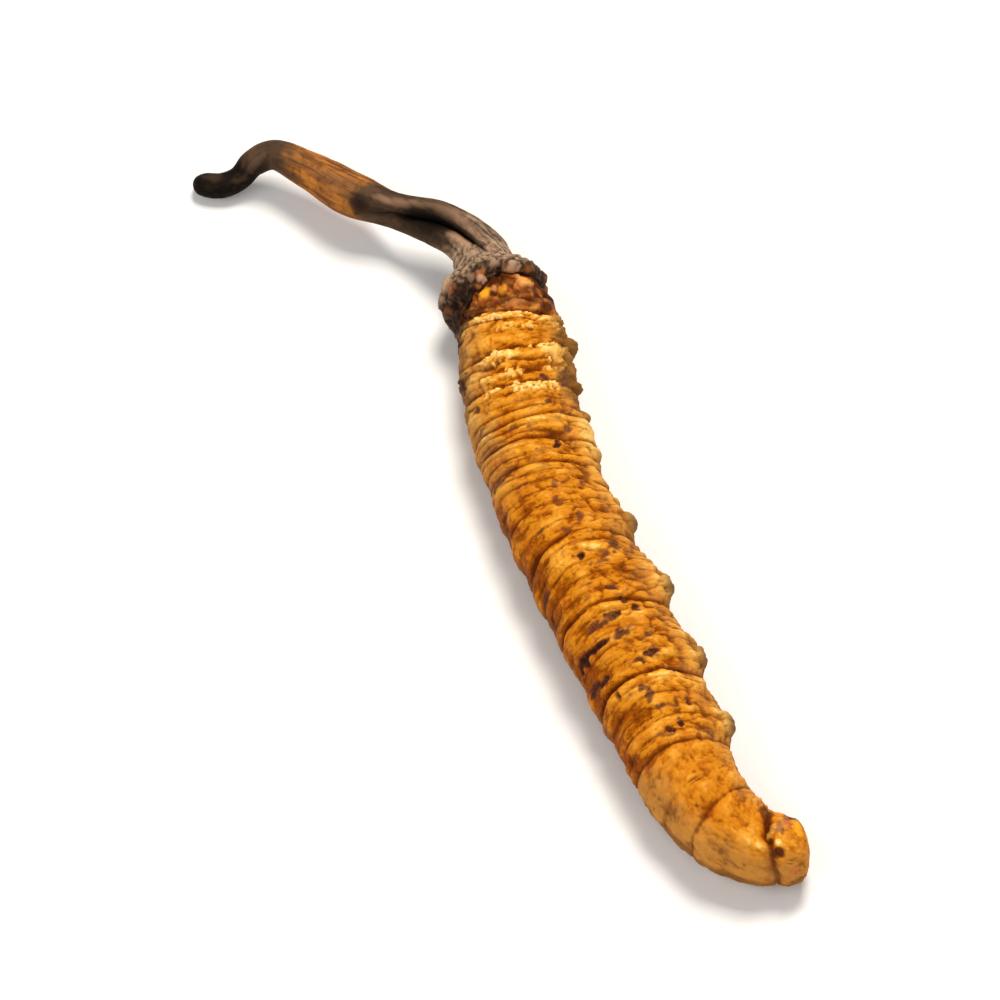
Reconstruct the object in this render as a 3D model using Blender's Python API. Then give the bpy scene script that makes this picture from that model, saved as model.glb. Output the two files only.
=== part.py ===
"""Dried cordyceps: a dried larva lying on its side, and the stem of the fungus that grew out of its head.

Run it with: blender --background --python part.py
Metres, +Z up. The larva's head points to +Y and its belly to +X, and the stem reaches to -X."""

import math

import bpy
import numpy as np
from mathutils import Vector, noise

MM = 0.001

# ---- driving sizes, in millimetres -----------------------------------------------------------------

# The middle line of the larva from the front of its head to its tail: x, y, height, radius
BODY_LINE = (
    (-0.68, 15.51, 3.05, 2.45),
    (0.02, 13.31, 3.05, 2.50),
    (0.67, 11.21, 2.98, 2.95),
    (0.97, 8.51, 2.98, 3.22),
    (1.47, 4.81, 2.88, 3.12),
    (3.82, -2.59, 2.86, 3.12),
    (6.02, -7.49, 2.92, 3.20),
    (9.22, -14.99, 2.77, 3.00),
    (11.02, -19.29, 2.49, 2.72),
    (13.22, -21.99, 2.20, 2.42),
    (15.62, -22.89, 1.87, 2.05),
    (17.37, -22.59, 1.78, 1.90),
)
HEAD_DOME = 3.0  # the length over which the head's front is rounded off
TAIL_DOME = 1.52
# The crease at the front of each segment, and the last one before the tail's end: how far along it crosses the
# flank, how much farther back it lies on the belly and forward on the back, how much farther back it lies on
# both, then the number of rings behind it and the depth between them
CREASES = (
    (4.60, 0.90, -0.75, 3, 0.13),
    (7.35, -0.27, -0.43, 3, 0.14),
    (9.60, 0.07, -0.37, 3, 0.14),
    (11.95, 0.20, -0.30, 2, 0.13),
    (13.30, 0.70, 0.00, 2, 0.13),
    (15.00, 0.64, -0.04, 4, 0.11),
    (20.20, 0.22, 0.68, 4, 0.11),
    (25.10, 0.39, 0.41, 4, 0.11),
    (30.20, 0.28, 0.52, 3, 0.10),
    (34.95, 0.10, 0.45, 2, 0.05),
    (39.00, -0.24, 0.14, 2, 0.03),
    (42.30, -1.30, -0.20, 0, 0.0),
)
CREASE_TURN = math.radians(13)  # the way round that the creases lean
CREASE_DEPTH = 0.22
CREASE_WIDTH = 0.35
TAIL_CREASE_DEPTH = 0.42
TAIL_CREASE_WIDTH = 0.40
RING_BLUNTNESS = 0.7  # below 1, a ring is broader than a sine wave and the furrow beside it narrower
RING_LEVEL = 0.6  # the share of a ring's depth that lies below the plain radius
LUMP_HEIGHT = 0.12  # the uneven shrinking of the dry skin
LUMP_SPAN = 1.6

BELLY_TURN = math.radians(-12)  # the belly faces a little below the horizontal
LEG_SPREAD = math.radians(32)  # each proleg, to the side of the belly's middle
LEG_SECTORS = 8
PROLEGS = (5, 6, 7, 8)  # segments with a pair of prolegs
PROLEG_BEHIND = 1.4  # from a proleg to the crease behind it
MOUND_HEIGHT = 0.36  # the swelling that carries a proleg
MOUND_BEFORE = 2.0  # it rises slowly from the head's side and drops off towards the tail
MOUND_BEHIND = 0.8
MOUND_SPREAD = 0.45  # its half width round the body, in radians
THORAX_LEGS = (0, 1, 2)  # segments with a pair of small jointed legs
THORAX_LEG_SPREAD = 0.45
THORAX_LEG_BEHIND = 0.45
TAIL_LEG_SPREAD = 0.5
TAIL_LEG_BEFORE = 1.05  # from the last pair of prolegs to the tail's end
# Half outlines of the legs, from their root: distance out, radius
PROLEG_OUTLINE = ((-0.6, 0.64), (0.06, 0.62), (0.24, 0.50), (0.31, 0.28))
THORAX_LEG_OUTLINE = ((-0.4, 0.36), (0.12, 0.32), (0.30, 0.18))
TAIL_LEG_OUTLINE = ((-0.5, 0.62), (0.10, 0.56), (0.26, 0.36))
LEG_CROWN = 0.06  # how far a leg's blunt end is domed

# The middle line of the stem from its tip to its root on the head: x, y, height, radius
STEM_LINE = (
    (-17.33, 23.51, 0.62, 0.50),
    (-16.78, 23.11, 0.70, 0.68),
    (-15.78, 23.01, 0.74, 0.72),
    (-14.78, 23.31, 1.05, 0.70),
    (-13.98, 23.86, 1.80, 0.78),
    (-12.68, 23.96, 2.40, 0.88),
    (-10.78, 22.86, 2.45, 1.07),
    (-8.48, 21.21, 2.60, 1.28),
    (-5.98, 19.91, 2.80, 1.12),
    (-3.48, 18.76, 3.15, 1.30),
    (-1.58, 17.31, 3.25, 1.50),
    (-0.68, 15.51, 3.05, 1.85),
)
TIP_DOME = 0.6  # the length over which the tip is rounded off
STEM_LUMP_HEIGHT = 0.10
STEM_LUMP_SPAN = 1.3
STRANDS_START = 11.5  # the stem is two strands grown together from here to its root
STRANDS_FADE = 1.8  # the length over which the groove between them deepens, and ends again at the root
STRANDS_APART = 0.50  # half the distance between their middles, as a share of the stem's radius
STRANDS_TURN = math.radians(33)  # the far strand is also the higher one

COLLAR_RADIUS = 3.15  # the stem's root swells round the head
COLLAR_LEAN = 0.15  # and more so on its long side
COLLAR_SWELL = 1.9  # and has that radius this far behind the head's front
COLLAR_MIDDLE = 2.6  # how far it reaches back over the head, on average
COLLAR_SWING = 1.0  # how much farther it reaches on one side than on the other
COLLAR_LONG_SIDE = math.radians(235)
COLLAR_PARTS = (0.2, 0.45, 0.7, 0.9, 1.0)  # its rings, as shares of the way from root to rim
RIM_ROUNDING = 0.12  # how much the last ring is drawn in
THINNEST_COLLAR = 0.1
SEAT_GAP = 0.3  # between the collar and the head
SEAT_PARTS = (0.96, 0.75, 0.5, 0.25, 0.08)  # the rings of the seat that the head stands in, from the rim

BODY_SECTORS = 24
BELLY_CROWDING = 0.35  # sectors are closer together on the belly, where the legs are
STEM_SECTORS = 14

SKIN_COLOUR = (0.64, 0.28, 0.045, 1.0)
STEM_COLOUR = (0.075, 0.050, 0.036, 1.0)


# ---- curves ----------------------------------------------------------------------------------------


def smooth_line(rows, steps=16):
    """A Catmull-Rom curve through the rows, with steps points from each row to the next."""
    rows = np.array(rows, float)
    rows = np.vstack([2 * rows[0] - rows[1], rows, 2 * rows[-1] - rows[-2]])
    t = np.linspace(0, 1, steps, endpoint=False)[:, None]
    spans = []
    for a, b, c, d in zip(rows[:-3], rows[1:-2], rows[2:-1], rows[3:]):
        spans.append(
            b + 0.5 * t * (c - a + t * (2 * a - 5 * b + 4 * c - d + t * (3 * (b - c) + d - a)))
        )
    return np.vstack([*spans, rows[-2:-1]])


class Line:
    """A middle line with a radius, read by the distance along it."""

    def __init__(self, rows):
        self.rows = smooth_line(rows)
        steps = np.linalg.norm(np.diff(self.rows[:, :3], axis=0), axis=1)
        self.along = np.concatenate([[0], np.cumsum(steps)])
        self.length = self.along[-1]

    def read(self, s):
        return np.stack([np.interp(s, self.along, column) for column in self.rows.T], axis=-1)

    def frame(self, s):
        """The middle, the level direction to the side and the upward direction of the cuts at s."""
        middle = self.read(s)[..., :3]
        ahead = self.read(s + 0.2)[..., :3] - self.read(s - 0.2)[..., :3]
        ahead /= np.linalg.norm(ahead, axis=-1, keepdims=True)
        side = np.cross((0, 0, 1), ahead)
        side /= np.linalg.norm(side, axis=-1, keepdims=True)
        return middle, side, np.cross(ahead, side)

    def points(self, s, angle, radius):
        """Points at the given angles round the line, from the side direction towards up."""
        middle, side, up = self.frame(s)
        cos, sin = np.cos(angle)[..., None], np.sin(angle)[..., None]
        return middle + radius[..., None] * (cos * side + sin * up)


# ---- solids ----------------------------------------------------------------------------------------


def material(name, colour, roughness):
    made = bpy.data.materials.new(name)
    made.use_nodes = True
    shader = made.node_tree.nodes["Principled BSDF"]
    shader.inputs["Base Color"].default_value = colour
    shader.inputs["Roughness"].default_value = roughness
    shader.inputs["Metallic"].default_value = 0.0
    return made


def add_object(name, points, faces, finish=None):
    mesh = bpy.data.meshes.new(name)
    mesh.from_pydata((points * MM).tolist(), [], faces)
    mesh.validate()
    mesh.shade_smooth()
    if finish:
        mesh.materials.append(finish)
    made = bpy.data.objects.new(name, mesh)
    bpy.context.scene.collection.objects.link(made)
    return made


def closed_skin(first, rings, last):
    """Points and faces of rings joined in order, with one point closing each end."""
    count, sectors = rings.shape[:2]
    points = np.vstack([rings.reshape(-1, 3), first, last])
    start, end = count * sectors, count * sectors + 1
    faces = []
    for j in range(sectors):
        k = (j + 1) % sectors
        faces.append((start, k, j))
        for i in range(count - 1):
            a, b = i * sectors, (i + 1) * sectors
            faces.append((a + j, a + k, b + k, b + j))
        faces.append((end, (count - 1) * sectors + j, (count - 1) * sectors + k))
    return points, faces


def press_flat(points):
    """The points, with those that would lie below the surface that it dried on moved up onto it."""
    points[..., 2] = np.maximum(points[..., 2], 0)
    return points


def lumps(points, height, span):
    """Gentle swellings and hollows, the same for the same place."""
    flat = points.reshape(-1, 3) / span
    values = [noise.noise(Vector(p)) for p in flat]
    return height * np.array(values).reshape(points.shape[:-1])


# ---- the larva -------------------------------------------------------------------------------------

BODY = Line(BODY_LINE)


def crease_places(angle):
    """How far along each crease crosses the given angles, from the first crease to the last."""
    lean = np.cos(angle - CREASE_TURN)
    return [place + back * lean + bow * lean**2 for place, back, bow, _, _ in CREASES]


def ring_bounds(angle):
    """Where each ring of each segment starts and ends at the given angles, and its depth."""
    places, bounds = crease_places(angle), []
    for start, end, (_, _, _, rings, depth) in zip(places[:-1], places[1:], CREASES):
        edges = [start + (end - start) * part for part in np.arange(rings + 1) / rings]
        bounds += [(a, b, depth) for a, b in zip(edges[:-1], edges[1:])]
    return bounds


def body_stations(angle):
    """How far along each grid line crosses the given angles: across the head, four to a ring, and the tail."""
    places = crease_places(angle)
    head = [places[0] * part for part in (0.03, 0.11, 0.24, 0.42, 0.62, 0.84)]
    rings = [a + (b - a) * part for a, b, _ in ring_bounds(angle) for part in (0, 0.22, 0.5, 0.78)]
    left = BODY.length - places[-1]
    tail = [places[-1] + left * part for part in (0, 0.14, 0.34, 0.58, 0.78, 0.92)]
    return np.array(head + rings + tail)


def body_relief(s, angle):
    """How far the skin stands out from its plain radius: creases, rings and the prolegs' mounds."""
    relief = np.zeros(np.broadcast(s, angle).shape)
    for a, b, depth in ring_bounds(angle):
        inside = (s >= a) & (s <= b)
        ridge = np.sin(np.pi * np.clip((s - a) / (b - a), 0, 1)) ** RING_BLUNTNESS
        relief += np.where(inside, depth * (ridge - RING_LEVEL), 0)
    places = crease_places(angle)
    for crease in places[:-1]:
        relief -= CREASE_DEPTH * np.exp(-(((s - crease) / CREASE_WIDTH) ** 2))
    relief -= TAIL_CREASE_DEPTH * np.exp(-(((s - places[-1]) / TAIL_CREASE_WIDTH) ** 2))
    belly_angle = (angle - BELLY_TURN + math.pi) % (2 * math.pi) - math.pi
    for segment in PROLEGS:
        for side in (-LEG_SPREAD, LEG_SPREAD):
            place = leg_place(segment, side, PROLEG_BEHIND)
            span = np.where(s < place, MOUND_BEFORE, MOUND_BEHIND)
            away = np.hypot((s - place) / span, (belly_angle - side) / MOUND_SPREAD)
            relief += MOUND_HEIGHT * np.exp(-(away**2))
    return relief


def leg_place(segment, belly_angle, behind):
    """How far along a leg of that segment stands, at that angle from the belly's middle."""
    return crease_places(np.array(BELLY_TURN + belly_angle))[segment + 1] - behind


def body_radius(s):
    """The plain radius, rounded off at the head's front and at the tail."""
    radius = BODY.read(s)[..., 3]
    front = np.clip(s / HEAD_DOME, 0, 1)
    back = np.clip((BODY.length - s) / TAIL_DOME, 0, 1)
    return radius * np.sqrt(1 - (1 - front) ** 2) * np.sqrt(1 - (1 - back) ** 2)


def add_leg(name, s, belly_angle, outline):
    """A short blunt peg that stands out of the skin."""
    angle, station = np.array([BELLY_TURN + belly_angle]), np.array([float(s)])
    _, side, up = (row[0] for row in BODY.frame(station))
    out = math.cos(angle[0]) * side + math.sin(angle[0]) * up
    along = np.cross(out, np.cross(side, up))
    across = np.cross(out, along)
    root = BODY.points(station, angle, body_radius(station) + body_relief(station, angle))[0]
    turn = 2 * math.pi * np.arange(LEG_SECTORS) / LEG_SECTORS
    spokes = np.cos(turn)[:, None] * along + np.sin(turn)[:, None] * across
    rings = np.array([root + out * reach + spokes * radius for reach, radius in outline])
    first, last = root + out * outline[0][0], root + out * (outline[-1][0] + LEG_CROWN)
    points, faces = closed_skin(first, rings, last)
    leg = add_object(name, press_flat(points), faces)
    leg.hide_render = True
    leg.display_type = "WIRE"
    return leg


def add_legs():
    """The legs and prolegs, kept in a collection of their own."""
    legs = []
    for side, sign in (("upper", 1), ("lower", -1)):
        spread = sign * THORAX_LEG_SPREAD
        for n in THORAX_LEGS:
            s = leg_place(n, spread, THORAX_LEG_BEHIND)
            legs.append(add_leg(f"leg_{n + 1}_{side}", s, spread, THORAX_LEG_OUTLINE))
        spread = sign * LEG_SPREAD
        for n in PROLEGS:
            s = leg_place(n, spread, PROLEG_BEHIND)
            legs.append(add_leg(f"proleg_{n - 4}_{side}", s, spread, PROLEG_OUTLINE))
        s = BODY.length - TAIL_LEG_BEFORE
        legs.append(add_leg(f"tail_leg_{side}", s, sign * TAIL_LEG_SPREAD, TAIL_LEG_OUTLINE))
    group = bpy.data.collections.new("legs")
    for leg in legs:
        group.objects.link(leg)
    return group


def add_larva():
    turn = 2 * math.pi * np.arange(BODY_SECTORS) / BODY_SECTORS
    angle = turn - BELLY_CROWDING * np.sin(turn) + BELLY_TURN
    s = body_stations(angle)
    s, angle = np.broadcast_arrays(s, angle[None, :])
    plain = body_radius(s)
    radius = plain + body_relief(s, angle) * np.minimum(plain, 1)
    swellings = lumps(BODY.points(s, angle, radius), LUMP_HEIGHT, LUMP_SPAN)
    rings = BODY.points(s, angle, radius + swellings)
    front, back = BODY.read(np.array([0.0, BODY.length]))[:, :3]
    points, faces = closed_skin(front, press_flat(rings), back)
    body = add_object("larva", points, faces, material("dried skin", SKIN_COLOUR, 0.6))
    join = body.modifiers.new("legs", "BOOLEAN")
    join.operation = "UNION"
    join.operand_type = "COLLECTION"
    join.collection = add_legs()
    join.solver = "EXACT"


# ---- the stem --------------------------------------------------------------------------------------

STEM = Line(STEM_LINE)


def strands_outline(s, angle, radius):
    """The radius of two round strands side by side, which are one where they start."""
    begun = np.clip((s - STRANDS_START) / STRANDS_FADE, 0, 1)
    grown = begun * np.clip((STEM.length - s) / STRANDS_FADE, 0, 1)
    apart = STRANDS_APART * radius * grown
    strand = radius - apart
    turned = angle - STRANDS_TURN
    across = np.abs(apart * np.sin(turned))
    return apart * np.abs(np.cos(turned)) + np.sqrt(np.maximum(strand**2 - across**2, 0))


def collar_rim(angle):
    """How far back over the head the collar reaches."""
    return COLLAR_MIDDLE + COLLAR_SWING * np.cos(angle - COLLAR_LONG_SIDE)


def collar_rings(angle):
    """The collar's rings from its root to its rim."""
    root, rings = STEM_LINE[-1][3], []
    full = COLLAR_RADIUS + COLLAR_LEAN * np.cos(angle - COLLAR_LONG_SIDE)
    for part in COLLAR_PARTS:
        s = collar_rim(angle) * part
        swell = np.sin(np.clip(s / COLLAR_SWELL, 0, 1) * np.pi / 2)
        outer = root + (full - root) * swell - (RIM_ROUNDING if part == 1 else 0)
        thinnest = body_radius(s) + SEAT_GAP + THINNEST_COLLAR
        rings.append(BODY.points(s, angle, np.maximum(outer, thinnest)))
    return rings


def seat_rings(angle):
    """The rings of the hollow that the head stands in, from the rim to its deepest point."""
    rings = []
    for part in SEAT_PARTS:
        s = collar_rim(angle) * part
        _, side, up = BODY.frame(s)
        forward = -np.cross(side, up) * SEAT_GAP * (1 - part)
        rings.append(BODY.points(s, angle, body_radius(s) + SEAT_GAP) + forward)
    return rings


def add_stem():
    angle = 2 * math.pi * np.arange(STEM_SECTORS) / STEM_SECTORS
    s = np.concatenate([[0.03, 0.15, 0.4], np.linspace(0.85, STEM.length, 32)])[:, None]
    radius = STEM.read(s)[..., 3] * np.sqrt(1 - (1 - np.clip(s / TIP_DOME, 0, 1)) ** 2)
    s, turned = np.broadcast_arrays(s, angle[None, :])
    outline = strands_outline(s, turned, radius)
    swellings = lumps(STEM.points(s, turned, outline), STEM_LUMP_HEIGHT, STEM_LUMP_SPAN)
    stalk = STEM.points(s, turned, outline + swellings)
    rings = press_flat(np.array([*stalk, *collar_rings(angle), *seat_rings(angle)]))
    middle, side, up = (row[0] for row in BODY.frame(np.array([0.0])))
    deepest = middle - np.cross(side, up) * SEAT_GAP
    tip = STEM.read(np.array([0.0]))[0, :3]
    points, faces = closed_skin(tip, rings, deepest)
    add_object("stem", points, faces, material("dried stem", STEM_COLOUR, 0.7))


def main():
    for old in list(bpy.data.objects):
        bpy.data.objects.remove(old, do_unlink=True)
    add_larva()
    add_stem()


main()
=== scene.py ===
"""Dried cordyceps: the skin of a dried larva and the bark of the fungus stem that grew out of its head.

Every length of the two pieces is in millimetres, and is turned to metres where a mesh or a material takes it.
The larva's head points to +Y, its belly to +X, and it lies on its side on the floor at z = 0."""

import math
from itertools import product

import bpy
import numpy as np
from bpy.props import FloatProperty, IntProperty, PointerProperty, StringProperty
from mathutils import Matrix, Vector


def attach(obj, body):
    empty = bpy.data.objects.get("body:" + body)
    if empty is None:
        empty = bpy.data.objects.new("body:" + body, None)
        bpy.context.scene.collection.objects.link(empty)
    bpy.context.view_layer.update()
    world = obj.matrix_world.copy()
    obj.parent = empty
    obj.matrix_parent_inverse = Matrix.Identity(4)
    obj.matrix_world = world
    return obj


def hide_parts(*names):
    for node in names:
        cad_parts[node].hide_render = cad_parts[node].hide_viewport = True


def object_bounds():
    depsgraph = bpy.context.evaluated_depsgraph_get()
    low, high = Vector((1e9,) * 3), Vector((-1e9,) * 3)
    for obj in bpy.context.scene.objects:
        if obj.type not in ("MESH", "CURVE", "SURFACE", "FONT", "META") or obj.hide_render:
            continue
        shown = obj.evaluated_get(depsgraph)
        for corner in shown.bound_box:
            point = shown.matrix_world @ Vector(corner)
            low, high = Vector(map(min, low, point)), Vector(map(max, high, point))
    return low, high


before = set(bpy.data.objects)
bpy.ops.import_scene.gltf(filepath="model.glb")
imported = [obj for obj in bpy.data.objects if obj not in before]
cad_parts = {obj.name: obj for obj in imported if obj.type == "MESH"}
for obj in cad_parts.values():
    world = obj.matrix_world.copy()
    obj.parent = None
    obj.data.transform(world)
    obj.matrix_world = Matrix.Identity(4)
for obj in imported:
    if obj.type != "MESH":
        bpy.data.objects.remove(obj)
CAD_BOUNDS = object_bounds()

bl_info = {
    "name": "Dried Cordyceps",
    "version": (1, 0, 0),
    "blender": (4, 5, 0),
    "location": "3D View > Sidebar > Cordyceps",
    "description": "A dried larva with the stem of the fungus that grew out of its head",
    "category": "Add Mesh",
}

MM = 0.001
WARP = 0.3  # how far the noise is pushed about by broader noise, as part of its own swells
WAVE_GAIN = 1.6  # brings the noise to about -1 to 1
LOOK_AHEAD = 0.2  # half the length over which the direction of a middle line is taken
SOFT_EDGE = 0.12  # height under which a piece is pressed flat against the floor

# ---- the larva's shape -----------------------------------------------------------------------------

# Its middle line from the front of its head to its tail: x, y, height, radius
BODY_LINE = (
    (-0.68, 15.51, 3.05, 2.45), (0.02, 13.31, 3.05, 2.5), (0.67, 11.21, 2.98, 2.95),
    (0.97, 8.51, 2.98, 3.22), (1.47, 4.81, 2.88, 3.12), (3.82, -2.59, 2.86, 3.12),
    (6.02, -7.49, 2.92, 3.2), (9.22, -14.99, 2.77, 3.0), (11.02, -19.29, 2.49, 2.72),
    (13.22, -21.99, 2.2, 2.42), (15.62, -22.89, 1.87, 2.05), (17.37, -22.59, 1.78, 1.9),
)
HEAD_DOME = 3.0
TAIL_DOME = 1.52
TAIL_BEND = 1.6  # how far the skin reaches round the tail's end, for each radian of its quarter turn
HIGHEST = 6.2  # crests that stand out above this height are worn down softly
WORN_RISE = 0.2  # the most that they then rise above it
END_ROWS = np.array([0.004, 0.02, 0.05, 0.09])  # the first and last grid rows, close together
FIRST_ROW = 0.14  # where the evenly spaced rows between them begin
MEAN_RADIUS = 3.1  # of the straight cylinder on which the skin's pattern is laid out
# The crease at the front of each segment, and the last one before the tail's end: how far along the flank it
# is, how far it leans back on the belly and forward on the back, how far it bows back on both, and its depth
CREASES = (
    (4.42, 0.9, -0.75, 0.1), (7.35, -0.27, -0.43, 0.11), (9.6, 0.07, -0.37, 0.1), (11.95, 0.2, -0.3, 0.09),
    (13.3, 0.7, 0.0, 0.08), (15.0, 0.64, -0.04, 0.09), (20.2, 0.22, 0.68, 0.11), (25.1, 0.39, 0.41, 0.12),
    (30.2, 0.28, 0.52, 0.13), (34.95, 0.1, 0.45, 0.08), (39.15, -0.24, 0.14, 0.06),
    (42.4, -0.75, 0.1, 0.0),
)
CREASE_TURN = math.radians(13)
# The lesser furrows between them: how far along the flank they are, and their depth
FURROWS = (
    (5.3, 0.1), (5.95, 0.05), (8.15, 0.15), (8.75, 0.05), (9.2, 0.04), (10.25, 0.08), (10.85, 0.04),
    (11.35, 0.07), (12.45, 0.09), (12.9, 0.05), (13.8, 0.07), (14.35, 0.09), (15.6, 0.06), (16.15, 0.06),
    (16.9, 0.07), (17.85, 0.08), (18.5, 0.04), (19.2, 0.08), (20.95, 0.06), (21.6, 0.04), (22.3, 0.08),
    (23.2, 0.06), (24.15, 0.06), (25.8, 0.05), (26.45, 0.04), (27.1, 0.06), (27.95, 0.12), (28.75, 0.05),
    (29.4, 0.05), (31.0, 0.05), (31.8, 0.09), (32.55, 0.04), (33.35, 0.09), (34.2, 0.04), (35.95, 0.03),
    (37.35, 0.03),
)
BELLY_TURN = math.radians(-12)
LEG_SPREAD = math.radians(32)
PROLEGS = (5, 6, 7, 8)
PROLEG_BEFORE = 1.4  # how far before the crease behind it a proleg stands
MOUNDS = ((3, 0.34), (4, 0.42), (5, 0.6), (6, 0.6), (7, 0.58), (8, 0.52))  # segment, height on its belly
SEGMENT_RISE = 0.1  # how far each segment's front stands out of the one before it
RING_WEIGHT = 1.6  # how much deeper the furrows are in the skin than their table says
THORAX_LEGS = ((0, 0.52, 0.62), (1, 0.36, 0.46), (2, 0.32, 0.42))  # segment, height and size
THORAX_LEG_SPREAD = 0.45
THORAX_LEG_BEFORE = 0.45
TAIL_LEG = (1.05, 0.5, 0.9, 0.12)  # how far before the tail's end, spread in radians, size and height
TAIL_SWELLING = (44.5, 0.85, 0.8, 0.46)  # how far along, angle in radians, size and height
# Where the flank's rings break up into lumps, by how far along: degrees from the belly's middle
BROKEN_EDGE = ((4, 60), (11, 74), (15, 88), (17, 120), (33, 124), (35, 80), (40, 40))
# Pits, scabs and raised plates: how far along, degrees round, half length, half width round, depth (below
# nought where it stands out), darkness
PITS = (
    (4.95, 61, 0.35, 0.25, 0.05, 0.7), (4.6, 168, 0.26, 0.5, -0.06, 0.8),
    (5.15, 170, 0.4, 0.8, -0.16, 0.95), (6.05, 73, 0.22, 0.18, 0.04, 0.6),
    (7.2, 168, 0.22, 0.45, -0.06, 0.7), (8.05, 171, 0.42, 0.75, -0.14, 0.95),
    (9.4, 172, 0.26, 0.55, -0.1, 0.7), (8.9, 40, 0.6, 0.55, 0.04, 0.6), (9.15, 66, 0.3, 0.25, 0.07, 0.8),
    (9.92, 96, 0.1, 0.5, 0.05, 0.6), (10.2, 145, 0.16, 0.4, 0.05, 0.7), (11.05, 65, 0.18, 0.24, 0.08, 0.8),
    (11.4, 150, 0.14, 0.6, 0.05, 0.6), (12.25, 112, 0.1, 0.22, 0.05, 0.6),
    (13.1, 56, 0.26, 0.26, 0.06, 0.7), (14.15, 72, 0.22, 0.22, 0.14, 1.0),
    (14.9, 153, 0.32, 0.7, 0.05, 0.8), (15.95, 128, 0.1, 0.5, 0.05, 0.5), (16.7, 92, 0.3, 0.22, 0.06, 0.6),
    (17.0, 62, 0.22, 0.24, 0.06, 0.6), (18.09, 97, 0.15, 0.2, 0.05, 0.4),
    (19.2, 127, 0.13, 0.45, 0.06, 0.6), (19.32, 81, 0.35, 0.18, 0.06, 0.6),
    (21.93, 100, 0.24, 0.24, 0.16, 1.0), (21.88, 61, 0.45, 0.4, 0.04, 0.8),
    (22.35, 160, 0.22, 0.6, 0.05, 0.6), (24.59, 88, 0.22, 0.3, 0.08, 0.8),
    (25.64, 82, 0.28, 0.3, 0.1, 0.9), (26.1, 122, 0.12, 0.42, 0.06, 0.7),
    (26.36, 101, 0.28, 0.4, 0.06, 0.85), (26.22, 75, 0.42, 0.24, 0.1, 0.9),
    (26.35, 118, 0.14, 0.8, 0.05, 0.7), (27.4, 152, 0.38, 1.3, 0.24, 1.0),
    (27.44, 126, 0.26, 0.7, 0.12, 0.9), (27.5, 104, 0.24, 0.45, 0.08, 0.8),
    (28.08, 76, 0.26, 0.34, 0.05, 0.75), (29.25, 83, 0.34, 0.55, 0.1, 1.0),
    (29.4, 98, 0.18, 0.4, 0.05, 0.7), (29.15, 160, 0.36, 0.8, 0.08, 0.9),
    (29.34, 143, 0.22, 0.5, 0.08, 0.9), (31.3, 107, 0.22, 0.4, 0.06, 0.8),
    (30.25, 74, 0.2, 0.18, 0.05, 0.7), (30.7, 134, 0.26, 0.2, 0.08, 0.8), (31.8, 103, 0.3, 0.3, 0.06, 0.8),
    (32.7, 101, 0.3, 0.12, 0.05, 0.7), (32.8, 66, 0.2, 0.16, 0.06, 0.8),
    (34.02, 84, 0.26, 0.22, 0.14, 1.0), (34.1, 100, 0.24, 0.2, 0.12, 0.9),
    (35.0, 70, 0.3, 0.22, 0.05, 0.6), (36.25, 89, 0.3, 0.1, 0.04, 0.4), (37.38, 103, 0.09, 0.5, 0.06, 0.5),
    (38.59, 120, 0.14, 0.14, 0.06, 0.5), (37.55, 98, 0.08, 0.55, 0.05, 0.5),
    (40.7, 150, 0.12, 0.3, 0.03, 0.3), (41.1, 96, 0.1, 0.34, 0.03, 0.35),
    (41.0, 166, 0.12, 0.4, 0.03, 0.3), (41.7, 54, 0.7, 1.0, 0.03, 0.9), (42.2, 84, 0.13, 1.1, 0.03, 0.8),
    (43.05, 125, 0.34, 0.6, 0.16, 1.0),
)
# Lumps and flakes that catch the light: how far along, degrees round, half length, half width round, height,
# paleness
FLECKS = (
    (2.58, 116, 0.38, 0.42, 0.18, 0.2), (2.84, 94, 0.38, 0.42, 0.14, 0.16),
    (2.54, 58, 0.5, 0.8, 0.26, 0.42), (4.0, 83, 0.26, 0.65, 0.16, 0.12), (4.55, 65, 0.2, 0.34, 0.1, 0.4),
    (4.15, 112, 0.22, 0.3, 0.1, 0.24), (42.3, 119, 0.3, 0.55, 0.14, 0.26),
    (42.5, 88, 0.24, 1.0, 0.05, 0.45), (42.95, 109, 0.24, 0.34, 0.07, 1.0),
)
# Stains of each kind: how far along, degrees round, half length, half width round, strength
STAINS = {
    # The last three char stains, at the tail's end, are painted shade along its outline.
    "char_and_shade": (
        (2.6, 166, 1.6, 1.7, 0.95), (4.0, 160, 0.8, 1.2, 0.8), (3.7, 128, 0.5, 0.55, 0.8),
        (2.05, 96, 0.55, 1.6, 0.9), (2.8, 105, 0.34, 0.2, 0.8), (3.3, 69, 0.26, 0.8, 0.6),
        (3.4, 50, 0.6, 0.55, 0.9), (4.3, 45, 0.45, 0.6, 0.8), (2.6, 24, 1.6, 1.2, 0.95),
        (3.6, 104, 0.3, 0.7, 0.6), (43.12, 88, 0.14, 0.6, 0.7), (43.5, 45, 0.5, 0.5, 0.95),
        (44.05, 49, 0.45, 0.45, 1.0), (44.45, 52, 0.36, 0.45, 0.95),
    ),
    "blush": (
        (2.54, 58, 0.55, 0.9, 0.7), (4.0, 83, 0.34, 0.8, 0.3), (2.6, 101, 0.26, 0.22, 0.7),
        (43.35, 78, 0.4, 0.34, 0.5),
    ),
    "plum": (
        (42.8, 80, 0.3, 1.0, 0.6), (43.35, 56, 0.55, 0.6, 0.7),
    ),
    "rose": (
        (43.65, 68, 0.45, 0.8, 0.55), (43.7, 158, 0.3, 0.5, 0.35),
    ),
    "gold": (
        (44.25, 80, 0.45, 1.0, 0.9), (42.35, 96, 0.14, 0.7, 0.4), (2.58, 116, 0.44, 0.5, 0.8),
        (2.84, 93, 0.4, 0.36, 0.34),
    ),
}
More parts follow.
